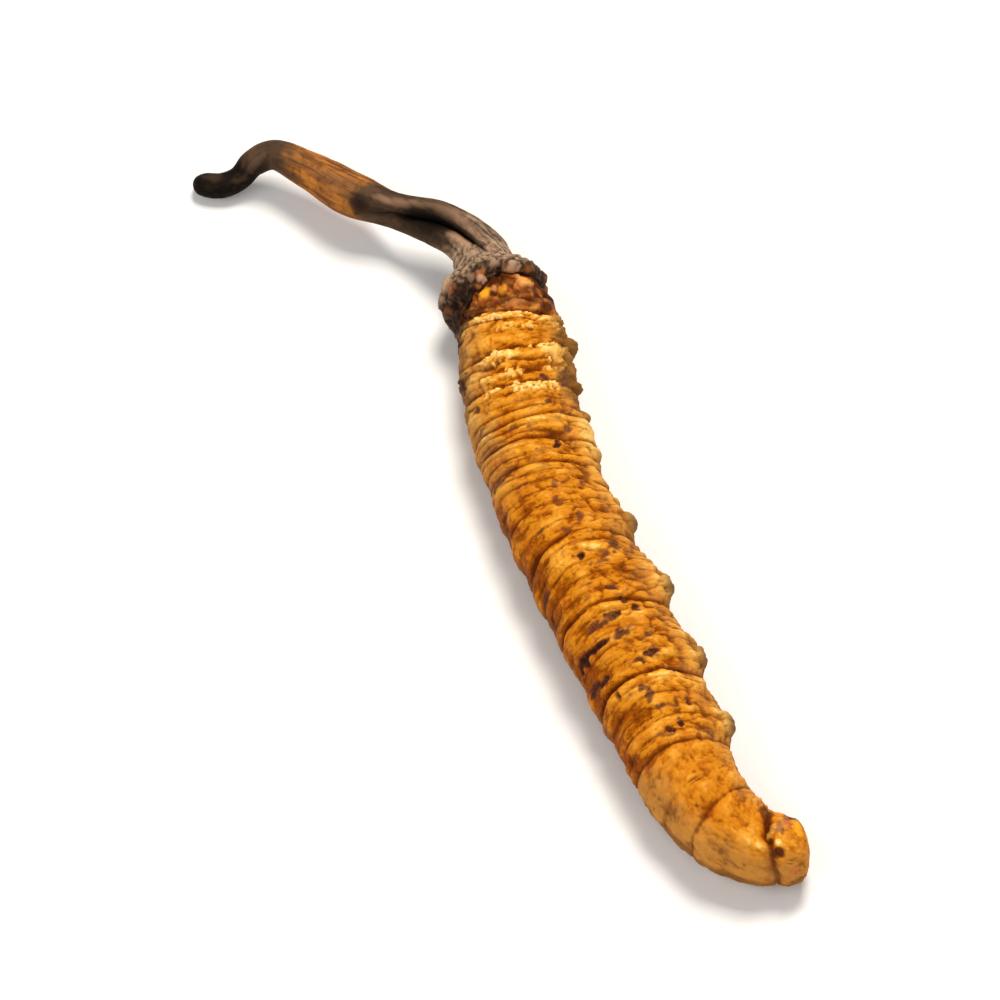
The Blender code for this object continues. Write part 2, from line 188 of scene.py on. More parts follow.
# Crumbly crests across the thorax: how far along, half length, height, paleness
CRESTS = (
    (4.85, 0.52, 0.24, 0.85), (5.74, 0.32, 0.14, 0.6), (7.78, 0.55, 0.17, 0.85), (8.8, 0.4, 0.17, 0.66),
    (9.98, 0.5, 0.19, 1.0), (12.15, 0.16, 0.04, 0.2),
)
SPIRACLE_TURN = math.radians(108)  # from the belly's middle to a breathing pore
SPIRACLE_SEGMENTS = (0, 3, 4, 5, 6, 7, 8, 9)
# Folds of the skin: height, or for lumps, arcs and breaks part of the height in the settings, how far apart
# along and round, seed, warp, where the tops are cut off, power, and the level that neither rises nor sinks
SKIN_FOLDS = {
    "lumps": (1.0, 0.95, 1.4, 19, WARP, 0.9, 0.7, 0.6),
    "arcs": (1.0, 0.42, 2.0, 14, 0, 0.7, 0.7, 0.5),
    "breaks": (0.7, 1.1, 0.55, 16, WARP, 0.7, 0.7, 0.5),
    "crumbs": (0.026, 0.34, 0.45, 15, 0, 2, 1, 0.5),
    "grit": (0.04, 0.28, 0.36, 22, 0, 1, 1, 0.5),
    "ripples": (0.07, 0.7, 0.9, 20, 0, 2, 0.7, 0.5),
    "knobs": (0.26, 1.2, 1.4, 17, WARP, 1, 0.7, 0.577),
}
BLUR_REACHES = (2, 7, 18)  # grid points over which the skin's relief is averaged to part fine from broad

# ---- the stem's shape ------------------------------------------------------------------------------

# Its middle line from its tip to its root on the head: x, y, height, radius
STEM_LINE = (
    (-17.33, 23.51, 0.62, 0.5), (-16.78, 23.11, 0.7, 0.68), (-15.78, 23.01, 0.74, 0.72),
    (-14.78, 23.31, 1.05, 0.7), (-13.98, 23.86, 1.8, 0.78), (-12.68, 23.96, 2.4, 0.88),
    (-10.78, 22.86, 2.45, 1.07), (-8.48, 21.21, 2.6, 1.28), (-5.98, 19.91, 2.8, 1.12),
    (-3.48, 18.76, 3.15, 1.3), (-1.58, 17.31, 3.25, 1.5), (-0.68, 15.51, 3.05, 1.85),
)
TIP_DOME = 0.6
TIP_ROWS = np.array([0.004, 0.02, 0.05, 0.1, 0.17, 0.26])  # the first grid rows, close together
BARK_START = 0.33  # where the evenly spaced rows begin
COLLAR_ROWS = 80
SEAT_ROWS = 20
STRANDS_START = 11.5
STRANDS_FADE = 1.8
STRANDS_APART = 0.5
# Where the rubbed stretch ends, by degrees round
RUBBED_END = (
    (0, 12.2), (45, 12.4), (75, 11.6), (98, 11.2), (127, 10.7), (150, 10.9), (175, 11.4), (360, 12.2),
)
# The groove between the strands: how far along, degrees round, half width of its painted shadow at the bottom
GROOVE_PATH = (
    (11.5, 165, 0.05), (13.4, 154, 0.12), (14.2, 145, 0.48), (14.9, 134, 0.8), (15.8, 122, 0.92),
    (16.6, 108, 0.68), (17.3, 100, 0.34), (18.6, 94, 0.2), (19.6, 88, 0.16), (20.6, 84, 0.06),
)
# Rubbed and stained patches, with painted highlights on the tops of the strands and the hump, and painted
# shade under the upper strand and on the hump's lower side: how far along, degrees round, half length, half
# width round, paleness (below nought where darker than the bark)
STEM_PATCHES = (
    (1.7, 100, 0.9, 0.35, -0.5), (4.3, 112, 0.7, 0.5, 0.16), (1.2, 75, 0.6, 0.3, 0.08),
    (3.0, 118, 0.6, 0.3, 0.08), (16.4, 62, 1.5, 0.45, 0.45), (11.6, 140, 0.5, 0.55, -0.9),
    (12.6, 152, 0.6, 0.35, -0.6), (13.0, 98, 0.7, 0.22, 0.45), (13.8, 88, 0.6, 0.24, 0.55),
    (14.8, 76, 0.6, 0.2, 0.35), (12.9, 50, 0.9, 0.4, -0.5), (4.3, 160, 0.8, 0.4, -0.7),
    (15.4, 118, 1.2, 0.6, -1.0), (16.5, 152, 1.0, 0.5, -0.7), (17.9, 126, 0.75, 0.5, 0.9),
    (18.6, 126, 0.4, 0.34, 0.55), (18.4, 66, 0.9, 0.24, 0.45), (19.8, 76, 0.4, 0.24, 0.6),
)
COLLAR_RADIUS = 3.15
COLLAR_LEAN = 0.15
COLLAR_SWELL = 1.9
COLLAR_MIDDLE = 2.6
COLLAR_SWING = 1.0
COLLAR_LONG_SIDE = math.radians(235)
COLLAR_TAPER = 0.5  # part of the collar, from its rim back, that thins down to the head
RIM_SINK = 0.04
# Folds of the bark, as those of the skin: streaks and fibres have part of the depth in the settings
BARK_FOLDS = {
    "streaks": (1.0, 3.4, 0.42, 51, 0, 2, 1, 0.5),
    "fibres": (0.5, 1.6, 0.2, 52, 0, 2, 1, 0.5),
    "knobs": (0.24, 1.25, 1.25, 55, WARP, 1, 0.7, 0.625),
    "cobbles": (0.035, 0.6, 0.6, 56, 0, 2, 1, 0.5),
    "grains": (0.026, 0.28, 0.28, 67, 0, 2, 1, 0.5),
}
# Lumps on the collar: how far over the head, degrees round, half length, half width round, height, paleness
# (below nought where it is dark). Some dark ones are painted shade on the collar's sides, and the pale one
# on its left bulge is a painted highlight
COLLAR_LUMPS = (
    (0.6, 178, 0.95, 1.2, 0.42, 0.1), (2.85, 178, 0.85, 1.8, -0.36, -0.8),
    (1.95, 182, 0.55, 1.2, -0.14, -0.4), (2.15, 143, 0.85, 1.1, -0.16, -1.0),
    (2.6, 160, 0.6, 0.6, -0.1, -0.9), (0.95, 156, 0.4, 0.4, 0.08, 0.35), (1.85, 112, 0.26, 0.26, 0.2, 1.0),
    (1.6, 122, 0.26, 0.26, 0.1, 0.4), (1.2, 93, 0.34, 0.34, 0.1, 0.2), (1.95, 85, 0.45, 0.45, -0.08, -0.9),
    (0.55, 80, 0.24, 0.24, 0.1, 0.45), (0.85, 68, 0.24, 0.26, 0.1, 0.45), (1.7, 66, 0.5, 0.55, 0.18, 0.55),
    (2.05, 38, 0.6, 1.0, 0.1, -0.85), (1.3, 30, 0.5, 0.6, 0.12, -0.6), (1.6, 10, 0.5, 0.6, 0.1, -0.8),
    (1.0, 105, 0.26, 0.3, 0.06, -0.5),
)

# ---- the stage's sizes -----------------------------------------------------------------------------

FLOOR_RADIUS = 0.9  # in metres
# Soft lights: name, place and size in metres, power in watts, colour
LIGHTS = (
    ("key", (0.06, 0.24, 0.48), 0.21, 3.0, "#FFFAF2"),
    ("fill", (-0.35, -0.2, 0.4), 0.4, 1.0, "#FFFFFF"),
    ("front", (0.1, -0.45, 0.35), 0.4, 1.0, "#FFFFFF"),
)


# ---- settings that a user would change -------------------------------------------------------------


class CordycepsLarvaSettings(bpy.types.PropertyGroup):
    rows: IntProperty(name="Rows", description="Grid rows along the larva", default=550, min=200, max=570)
    columns: IntProperty(name="Columns", description="Columns round the larva", default=172, min=60, max=174)
    wrinkle_depth: FloatProperty(
        name="Wrinkle depth", description="Depth of the fine wrinkles", default=0.08 * MM, unit="LENGTH"
    )
    lump_height: FloatProperty(
        name="Lump height", description="Height of the lumps on the flank", default=0.21 * MM, unit="LENGTH"
    )
    skin_colour: StringProperty(name="Skin", description="Golden ochre of the dry skin", default="#CC7C14")
    worn_colour: StringProperty(name="Worn", description="Pale gold of the ridges", default="#FAC468")
    # The furrow colour also paints the shade in the skin's hollows.
    furrow_colour: StringProperty(name="Furrow", description="Brown in the furrows", default="#5E2A02")
    scab_colour: StringProperty(name="Scab", description="Purple-brown of pits and scabs", default="#46180A")
    flake_colour: StringProperty(name="Flake", description="Cream of the crumbly crests", default="#FFD88C")
    head_colour: StringProperty(name="Head", description="Red-brown horn of the head", default="#783812")


class CordycepsStemSettings(bpy.types.PropertyGroup):
    rows: IntProperty(name="Rows", description="Grid rows along the stem", default=560, min=200, max=600)
    columns: IntProperty(name="Columns", description="Columns round the stem", default=150, min=40, max=160)
    streak_depth: FloatProperty(
        name="Streak depth", description="Depth of the long wrinkles", default=0.025 * MM, unit="LENGTH"
    )
    bark_colour: StringProperty(name="Bark", description="Grey-brown of the old stem", default="#4C3828")
    tip_colour: StringProperty(name="Tip", description="Near black of the tip", default="#0D0805")
    rubbed_colour: StringProperty(name="Rubbed", description="Orange-tan under the bark", default="#985E28")
    # The pale colour also paints highlights on the strands' tops.
    pale_colour: StringProperty(name="Pale", description="Pale tan of worn streaks", default="#C09472")
    root_colour: StringProperty(name="Root", description="Taupe of the swollen root", default="#866C58")
    crumb_colour: StringProperty(name="Crumb", description="Orange crumbs on the root", default="#A8602A")


class CordycepsStageSettings(bpy.types.PropertyGroup):
    elevation: FloatProperty(
        name="Elevation", description="Height of the view", default=math.radians(56.5), subtype="ANGLE"
    )
    distance: FloatProperty(
        name="Distance", description="From the camera to the object", default=2.5, unit="LENGTH"
    )
    view_width: FloatProperty(
        name="View width", description="Width of the view at the object", default=0.0565, unit="LENGTH"
    )
    floor_colour: StringProperty(name="Floor", description="Pale floor", default="#F1EFEC")


# ---- arrays ----------------------------------------------------------------------------------------


def unit(vectors):
    """The vectors at a length of one."""
    return vectors / np.maximum(np.linalg.norm(vectors, axis=-1, keepdims=True), 1e-9)


def smooth_line(rows, steps=16):
    """A Catmull-Rom curve through the rows, with steps points from each row to the next."""
    rows = np.array(rows, float)
    rows = np.vstack([2 * rows[0] - rows[1], rows, 2 * rows[-1] - rows[-2]])
    t = np.linspace(0, 1, steps, endpoint=False)[:, None]
    spans = [
        b + 0.5 * t * (c - a + t * (2 * a - 5 * b + 4 * c - d + t * (3 * (b - c) + d - a)))
        for a, b, c, d in zip(rows[:-3], rows[1:-2], rows[2:-1], rows[3:])
    ]
    return np.vstack([*spans, rows[-2:-1]])


class Line:
    """A middle line with a radius, read by the distance along it."""

    def __init__(self, rows):
        self.rows = smooth_line(rows)
        steps = np.linalg.norm(np.diff(self.rows[:, :3], axis=0), axis=1)
        self.along = np.concatenate([[0], np.cumsum(steps)])
        self.length = self.along[-1]

    def read(self, s):
        """x, y, height and radius at s."""
        return np.stack([np.interp(s, self.along, column) for column in self.rows.T], axis=-1)

    def points(self, s, angle, radius):
        """Points round the line at s: the middle plus the radius times (cosine of the angle times the level
        direction to the side plus sine of the angle times the upward direction), both square to the line."""
        ahead = unit(self.read(s + LOOK_AHEAD)[..., :3] - self.read(s - LOOK_AHEAD)[..., :3])
        side = unit(np.cross((0, 0, 1), ahead))
        cos, sin = np.cos(angle)[..., None], np.sin(angle)[..., None]
        return self.read(s)[..., :3] + radius[..., None] * (cos * side + sin * np.cross(ahead, side))


BODY = Line(BODY_LINE)
STEM = Line(STEM_LINE)


def held(x):
    """x, but never below 0 or above 1."""
    return np.clip(x, 0, 1)


def smoothstep(low, high, x):
    """0 below low, 1 above high, and an S-curve between them."""
    t = held((x - low) / (high - low))
    return t * t * (3 - 2 * t)


def bell(x, width):
    """1 at zero, falling to nothing a couple of widths away on both sides."""
    return np.exp(-((x / width) ** 2))


def turned(angle):
    """The angle from -180 to 180 degrees, in radians."""
    return (angle + math.pi) % (2 * math.pi) - math.pi


def between(places, x):
    """Which place comes after x, how far it is from the one before, and what part of that x has gone."""
    after = np.clip(np.searchsorted(places, x), 1, len(places) - 1)
    gap = places[after] - places[after - 1]
    return after, gap, held((x - places[after - 1]) / gap)


def scatter(cell, seed):
    """A fixed number from 0 to 1 for each whole-number cell, scrambled by large primes and shifts."""
    mixed = (cell * np.array([374761393, 668265263, 1274126177])).sum(-1) + seed * 97531 + 7919
    mixed = ((mixed ^ (mixed >> 15)) & 0x7FFFFFFF) * 1103515245
    mixed = ((mixed ^ (mixed >> 17)) & 0x7FFFFFFF) * 1274126177
    return ((mixed ^ (mixed >> 19)) & 0xFFFFFF) / 0xFFFFFF


def waves(points, seed):
    """Smooth noise from about -1 to 1 whose swells are about a unit apart: a random slope at each corner of
    the unit cell round the point, blended by a quintic curve."""
    base = np.floor(points).astype(np.int64)
    part = points - base
    blend = part**3 * (part * (part * 6 - 15) + 10)
    total = np.zeros(points.shape[:-1])
    for corner in product((0, 1), repeat=3):
        corner = np.array(corner)
        weight = np.prod(np.where(corner == 1, blend, 1 - blend), axis=-1)
        slopes = np.stack([scatter(base + corner, 3 * seed + k) for k in range(3)], axis=-1) * 2 - 1
        total += weight * (slopes * (part - corner)).sum(-1)
    return total * WAVE_GAIN


class Pattern:
    """Noise laid out on a straight cylinder, by the distance along a body and the place across it."""

    warp = 0

    def __init__(self, along, angle, radius):
        self.straight = np.stack([along, radius * np.cos(angle), radius * np.sin(angle)], axis=-1)

    def layers(self, along, around, seed, warp, count):
        """Waves that far apart along and round the body, pushed about by the warp, each half the last."""
        points = self.straight / np.array([along, around, around]) + warp * self.warp
        return [waves(points * 2.0**k, seed + 11 * k) / 2.0**k for k in range(count)]

    def waves(self, along, around, seed, warp=0, count=1):
        """The sum of the layers."""
        return sum(self.layers(along, around, seed, warp, count))

    def creases(self, along, around, seed, warp=0):
        """From 0 in sharp furrows to 1 on broad rounded swells: the sum of two layers without their signs."""
        layers = self.layers(along, around, seed, warp, 2)
        return np.clip(WAVE_GAIN * sum(np.abs(layer) for layer in layers), 0, 1.4)

    def folds(self, table, where):
        """The relief of all folds in the table, height * (shape - level), and their shapes, which are the
        creases cut off at the top and raised to a power."""
        relief, shapes = 0, {}
        for name, (height, along, around, seed, warp, top, power, level) in table.items():
            shapes[name] = np.minimum(self.creases(along, around, seed, warp), top) ** power
            relief = relief + height * (shapes[name] - level) * where[name]
        return relief, shapes


def domes(table, along, angle, size, ragged):
    """How near each point is to the middle of each dome in the table: sqrt(1 - distance^2), in half lengths
    and half widths round a body of that size."""
    for middle, degrees, long, wide, *rest in table:
        around = turned(angle - math.radians(degrees)) * size / wide
        yield np.sqrt(held(1 - (np.hypot((along - middle) / long, around) * ragged) ** 2)), rest


def blurred(values, reach):
    """The mean over the grid points up to reach rows and columns away; the columns go round."""
    values = np.pad(values, ((reach, reach), (0, 0)), mode="edge")
    values = np.pad(values, ((0, 0), (reach, reach)), mode="wrap")
    count = 2 * reach + 1
    for _ in ("rows", "columns"):
        sums = np.pad(np.cumsum(values, axis=0), ((1, 0), (0, 0)))
        values = ((sums[count:] - sums[:-count]) / count).T
    return values


def pressed(points):
    """The points pressed softly flat against the floor: an exponential takes the place of low heights."""
    height = points[..., 2]
    low = SOFT_EDGE * np.exp(np.minimum(height, SOFT_EDGE) / SOFT_EDGE - 1)
    points[..., 2] = np.where(height > SOFT_EDGE, height, low)
    return points


# ---- meshes and materials --------------------------------------------------------------------------


def add_object(name, data):
    """A new object in the scene."""
    made = bpy.data.objects.new(name, data)
    bpy.context.scene.collection.objects.link(made)
    return made


def add_skin(name, grid, first, last, shades, material):
    """A closed skin over a grid whose columns go round, with a point closing each end, and an attribute for
    each shade, which is a number or, with three values, a place."""
    rows, columns = grid.shape[:2]
    points = np.vstack([grid.reshape(-1, 3), first, last]) * MM
    k = np.arange(rows * columns).reshape(rows, columns)
    n = np.roll(k, -1, axis=1)
    quads = np.stack([k[:-1], n[:-1], n[1:], k[1:]], axis=-1).reshape(-1, 4)
    start, end = rows * columns, rows * columns + 1
    front = np.stack([np.full(columns, start), n[0], k[0]], axis=-1)
    back = np.stack([np.full(columns, end), k[-1], n[-1]], axis=-1)
    mesh = bpy.data.meshes.new(name)
    mesh.from_pydata(points, [], [*quads.tolist(), *front.tolist(), *back.tolist()])
    mesh.shade_smooth()
    for shade, values in shades.items():
        ends = values[[0, -1]].reshape(2, columns, -1).mean(1)
        values = np.concatenate([values.reshape(rows * columns, -1), ends]).astype(np.float32)
        kind, field = ("FLOAT", "value") if values.shape[1] == 1 else ("FLOAT_VECTOR", "vector")
        mesh.attributes.new(shade, kind, "POINT").data.foreach_set(field, values.ravel())
    mesh.materials.append(material)
    return add_object(name, mesh)


def linear(colour):
    """A linear colour from an sRGB hex value such as #D9912B."""
    values = np.array([int(colour[k : k + 2], 16) for k in (1, 3, 5)]) / 255
    values = np.where(values <= 0.04045, values / 12.92, ((values + 0.055) / 1.055) ** 2.4)
    return (*values.tolist(), 1.0)


def feed(node, inputs):
    """Links each input of the node to the socket given for it, or sets it to the value."""
    for name, value in inputs.items():
        if isinstance(value, bpy.types.NodeSocket):
            node.id_data.links.new(value, node.inputs[name])
        else:
            node.inputs[name].default_value = value


def add_node(tree, kind, inputs, output=0, **settings):
    """An output of a new shader node with those inputs and settings."""
    node = tree.nodes.new("ShaderNode" + kind)
    for name, value in settings.items():
        setattr(node, name, value)
    feed(node, inputs)
    return node.outputs[output]


def new_material(name):
    """A material with its node tree, its shader and its object coordinates."""
    material = bpy.data.materials.new(name)
    material.use_nodes = True
    tree = material.node_tree
    return material, tree, tree.nodes["Principled BSDF"], add_node(tree, "TexCoord", {}, "Object")


def per_metre(size):
    """The scale of a noise whose swells are size millimetres apart."""
    return 1 / (size * MM)


def laid_over(tree, colour, layers):
    """Lays the colour of each layer over those before it, as thickly as the shade of its name says."""
    for shade, over in layers:
        factor = add_node(tree, "Attribute", {}, "Fac", attribute_name=shade)
        colour = add_node(tree, "Mix", {0: factor, 6: colour, 7: linear(over)}, 2, data_type="RGBA")
    return colour


# ---- the larva -------------------------------------------------------------------------------------


def crease_places(angle):
    """How far along the head's front, each crease and the tail's end are at the angles, where a crease is at
    place + back * cos + bow * cos^2."""
    lean = np.cos(angle - CREASE_TURN)
    places = [place + back * lean + bow * lean**2 for place, back, bow, _ in CREASES]
    return np.array([0 * lean, *places, 0 * lean + BODY.length])


def body_radius(s):
    """The plain radius, rounded off by quarter ellipses at the head's front and at the tail."""
    front, back = held(s / HEAD_DOME), held((BODY.length - s) / TAIL_DOME)
    return BODY.read(s)[..., 3] * np.sqrt(1 - (1 - front) ** 2) * np.sqrt(1 - (1 - back) ** 2)


def over_tail(s):
    """The distance along the skin: s itself, and round the tail's end a part of its quarter turn."""
    start = BODY.length - TAIL_DOME
    return np.minimum(s, start) + TAIL_BEND * np.arcsin(held((s - start) / TAIL_DOME))


class Skin(Pattern):
    """The larva's skin as a grid whose rows follow the creases, so that wrinkles run along the rings."""

    def __init__(self, rows, columns):
        turn = 2 * math.pi * np.arange(columns) / columns
        self.angle = (turn + 0.4 * np.cos(turn))[None, :]  # closer together on top than underneath
        flank = crease_places(np.array(math.pi / 2 + CREASE_TURN))
        middle = np.linspace(FIRST_ROW, BODY.length - FIRST_ROW, rows - 2 * len(END_ROWS))
        along = np.concatenate([END_ROWS, middle, BODY.length - END_ROWS[::-1]])
        step = np.interp(along, flank, np.arange(len(flank)))[:, None]  # whole numbers are creases
        span = np.minimum(step[:, 0].astype(int), len(flank) - 2)
        places = crease_places(self.angle[0])
        self.s = places[span] + (places[span + 1] - places[span]) * (step - span[:, None])
        self.along = along[:, None] + 0 * self.angle
        self.belly = turned(self.angle - BELLY_TURN) + 0 * self.s
        self.off_belly = np.degrees(np.abs(self.belly))
        self.wide = MEAN_RADIUS * np.sqrt(1 - held(1 - (BODY.length - self.s) / TAIL_DOME) ** 2)
        super().__init__(self.along, self.angle, self.wide)
        self.warp = np.stack([self.waves(0.8, 0.8, 8), self.waves(0.8, 0.8, 9), 0 * self.s], axis=-1)

        edge = np.interp(self.along, *np.array(BROKEN_EDGE, float).T)
        frayed = self.off_belly + 12 * self.waves(2.4, 2.4, 4)
        self.broken = 1 - smoothstep(edge - 16, edge + 16, frayed)
        off_head = self.along - CREASES[0][0] + 0.15 * self.waves(0.5, 0.5, 3)
        self.head = 1 - smoothstep(-0.12, 0.08, off_head)
        self.thorax = smoothstep(4.3, 4.7, self.along) * (1 - smoothstep(10.4, 11.2, self.along))
        self.tail = smoothstep(34.6, 35.4, self.along)
        self.middle = (1 - self.head) * (1 - self.tail)
        # The rings bend a little, and more where they are broken up
        self.bent = self.along + 0.11 * self.waves(1.6, 1.7, 5) * (1 - 0.6 * self.tail)
        loose = np.maximum(self.broken, self.thorax) * self.middle
        self.bent += 0.15 * loose * self.waves(1.0, 1.1, 6)

    def domes(self, table, ragged):
        """The domes of the table on the skin."""
        rows = [(over_tail(place), *rest) for place, *rest in table]
        return domes(rows, over_tail(self.s), self.angle, self.wide, ragged)

    def from_leg(self, segment, spread, behind):
        """How far each point is behind a leg of that segment, and round the belly from it."""
        place = crease_places(np.array(BELLY_TURN + spread))[segment + 2] - behind
        return self.s - place, (self.belly - spread) * MEAN_RADIUS


def ring_relief(skin):
    """The rings: between two furrows the skin swells by a blunted half ellipse, as high as they are deep, and
    noise makes it shallower. Also how dark the thin line at the bottom of a furrow is."""
    creases = [(place, 1.1 * deep) for place, _, _, deep in CREASES]
    places, depths = np.array([(0, 0), *sorted([*FURROWS, *creases]), (BODY.length, 0)]).T
    after, gap, part = between(places, skin.bent)
    depth = depths[after - 1] * (1 - part) + depths[after] * part
    shown = np.clip(0.8 + skin.waves(0.9, 2.2, 7), 0.1, 1.5)
    dark = bell(np.minimum(part, 1 - part) * gap, 0.055) * np.clip(depth / 0.07, 0, 1.2) * shown
    return depth * ((4 * part * (1 - part)) ** 0.45 - 1) * shown * (1 - 0.35 * skin.broken), dark


def crease_relief(skin):
    """The creases between segments: a broad dip with a sharp furrow at its bottom, and a low roll behind. The
    last one is a gap that narrows towards the back."""
    relief = np.zeros_like(skin.s)
    stronger = 1 + smoothstep(120, 165, skin.off_belly) * skin.tail
    for place, _, _, deep in CREASES:
        away = skin.bent - place
        relief -= deep * stronger * (0.40 * bell(away, 0.24) + 0.9 * np.exp(-np.abs(away) / 0.07))
        relief += 0.35 * deep * bell(away - 0.42, 0.26)
    away = skin.along - CREASES[-1][0] + 0.05 * skin.waves(0.8, 0.8, 8)
    wide = smoothstep(140, 115, skin.off_belly)
    opened = 0.22 + 0.78 * smoothstep(62, 92, skin.off_belly)
    relief -= opened * (0.10 + 0.16 * wide) * bell(away, 0.36)
    return relief - 0.36 * opened * np.exp(-np.abs(away) / (0.09 + 0.15 * wide))


def segment_relief(skin):
    """Each segment rises steeply behind its front crease and then falls evenly, but not the tail's end."""
    places = np.array([0.0, *(row[0] for row in CREASES), BODY.length])
    part = between(places, skin.bent)[2]
    return SEGMENT_RISE * (smoothstep(0, 0.2, part) * (1 - part) - 0.4) * smoothstep(38.5, 37.0, skin.along)


def leg_relief(skin):
    """The prolegs on their mounds, the legs of the thorax, the last prolegs and the tail's swelling, as steep
    domes, and how near each point is to a leg and to a proleg's sole, which is later darkened partly as the
    sole's own dark and partly as painted shade."""
    relief, soles_and_shade, near = (np.zeros_like(skin.s) for _ in range(3))
    for sign in (-1, 1):
        for segment, height in MOUNDS:
            behind, around = skin.from_leg(segment, sign * LEG_SPREAD, PROLEG_BEFORE)
            span = np.where(behind < 0, 2.0, 0.9)
            relief += height * np.exp(-((behind / span) ** 2 + (around / 1.395) ** 2))
            if segment not in PROLEGS:
                continue
            away = np.hypot(0.85 * behind, around) * (1 + 0.25 * skin.waves(0.5, 0.5, 33))
            relief += 0.36 * held(1 - (away / 0.62) ** 3) ** 0.6 - 0.08 * bell(away, 0.22)
            soles_and_shade += bell(np.hypot(behind - 0.25, around), 0.36)
            near += 1 - smoothstep(0.4, 0.8, away)
        for segment, height, size in THORAX_LEGS:
            behind, around = skin.from_leg(segment, sign * THORAX_LEG_SPREAD, THORAX_LEG_BEFORE)
            away = np.hypot(behind, 0.8 * around) / size
            relief += height * held(1 - away**2) ** 0.6
            near += 1 - smoothstep(0.7, 1.4, away)
        before, spread, size, height = TAIL_LEG
        away = np.hypot(skin.s - BODY.length + before, (skin.belly - sign * spread) * 2.0) / size
        relief += height * held(1 - away**2) ** 1.5
    place, angle, size, height = TAIL_SWELLING
    relief += height * bell(np.hypot(skin.s - place, (skin.angle - angle) * 2.0), size)
    return relief, held(soles_and_shade), held(near)


def seam_relief(skin):
    """A broken seam along the flank, and slanting folds beside it."""
    seam = bell(skin.off_belly - 62 - 7 * skin.waves(2, 2, 12), 4)
    relief = -0.10 * seam * held(0.5 + skin.waves(1.3, 1.3, 13)) * skin.middle * (1 - skin.thorax)
    slant = (skin.along + 0.04 * skin.off_belly) / 1.7 + 0.7 * skin.waves(1.8, 1.8, 9)
    fold = np.abs(np.sin(math.pi * slant)) ** 0.5 - 0.75
    shown = bell(skin.off_belly - 72, 26) * smoothstep(11, 13, skin.along) * skin.middle
    return relief + 0.09 * fold * shown


def crest_relief(skin, grit):
    """The crumbly crests across the thorax, with gaps and flakes in them, and how pale they are worn."""
    flakes = np.minimum(skin.creases(0.48, 0.60, 21, WARP) ** 0.8, 1)
    shown = smoothstep(158, 130, skin.off_belly) * (0.25 + 0.75 * smoothstep(22, 48, skin.off_belly))
    shown *= smoothstep(-0.5, 0.3, skin.waves(0.8, 1.3, 18)) * (0.1 + 1.15 * flakes)
    relief, pale = np.zeros_like(skin.s), np.zeros_like(skin.s)
    for place, half, height, paleness in CRESTS:
        crest = smoothstep(1.4, 0.5, np.abs(skin.bent - place) / half) * shown
        relief += height * crest * (0.4 + 0.9 * grit)
        worn = smoothstep(0.35, 1.0, crest * (0.4 + grit)) * smoothstep(30, 80, skin.off_belly)
        pale = np.maximum(pale, paleness * worn)
    return relief, pale


def spiracles():
    """A breathing pore in the middle of each side of most segments, in the form of the table of pits."""
    for segment, sign in product(SPIRACLE_SEGMENTS, (-1, 1)):
        angle = BELLY_TURN + sign * SPIRACLE_TURN
        middle = crease_places(np.array(angle))[segment + 1 : segment + 3].mean()
        yield middle, math.degrees(angle), 0.12, 0.18, 0.06, 0.5


def skin_marks(skin, relief, pale, crumbs):
    """Adds the pits and flecks to the relief, and gives how pale, scabbed and stained each point is. The
    scabs between the pits are patches of noise on the flank."""
    scab = skin.waves(0.50, 1.0, 41, WARP, 3) * bell(skin.off_belly - 95, 55)
    scab = 0.80 * smoothstep(0.30, 0.76, scab) * skin.middle * (1 - skin.thorax)
    scab *= 0.5 + 0.5 * smoothstep(18, 23, skin.along)
    ragged = 1 + 0.8 * skin.waves(0.35, 0.45, 31) * (1 - 0.7 * skin.tail)
    for near, (deep, darkness) in skin.domes((*PITS, *spiracles()), ragged):
        relief -= deep * near**2
        scab = np.maximum(scab, darkness * smoothstep(0.1, 0.85, near))
    frayed = np.maximum(1 + 0.45 * skin.waves(0.5, 0.6, 32, 0, 2), 0.6)
    stains = {}
    for kind, rows in STAINS.items():
        shown = [strength * smoothstep(0, 0.8, near**2) for near, (strength,) in skin.domes(rows, frayed)]
        stains[kind] = np.max(shown, axis=0) * held(0.75 + 0.5 * crumbs)
    for near, (height, paleness) in skin.domes(FLECKS, frayed):
        relief += height * near**1.5
        pale = np.maximum(pale * (1 - near), paleness * near**2 * np.clip(0.5 + crumbs, 0, 1.1))
    return pale, scab, stains


def skin_tone(skin, relief, patches, streaks, off_back):
    """How light the skin is, from 0 to 1: noise, plus the relief's own fine, middling and broad swells, each
    against its spread, as painted light on the raised skin and painted shade in its hollows, less the dark of
    the back, partly its browner skin and partly painted shade on the side away from the light, plus the paler
    thorax, waist and belly. Also how far each point lies below its neighbours, used as painted shade."""
    tight, close, wide = (blurred(relief, reach) for reach in BLUR_REACHES)
    tone = (0.10 * streaks + 0.11 * patches) * (1 - 0.4 * skin.tail)
    # Painted light and shade: the relief's raised parts are made lighter and its hollows darker
    for weight, band in ((0.045, relief - tight), (0.09, tight - close), (0.07, close - wide)):
        tone += weight * np.clip(band / band.std(), -2.5, 2.5)
    # The back is darker: partly its browner skin, partly painted shade on the side away from the light
    back = smoothstep(128, 168, skin.off_belly + 18 * patches + 16 * streaks)
    back *= (0.21 - 0.14 * skin.tail) * smoothstep(10, 17, skin.along)
    tone = 0.54 + tone * (1 - 0.6 * skin.tail * off_back) - back
    tone += 0.05 * skin.thorax - 0.02 * skin.tail
    tone += 0.04 * bell(skin.along - 13.5, 2.5) + 0.03 * smoothstep(75, 50, skin.off_belly)
    # The second value, how far each point lies below its neighbours, is used for painted shade
    return held(tone), held((tight - relief) / 0.07 + (close - relief) / 0.20)


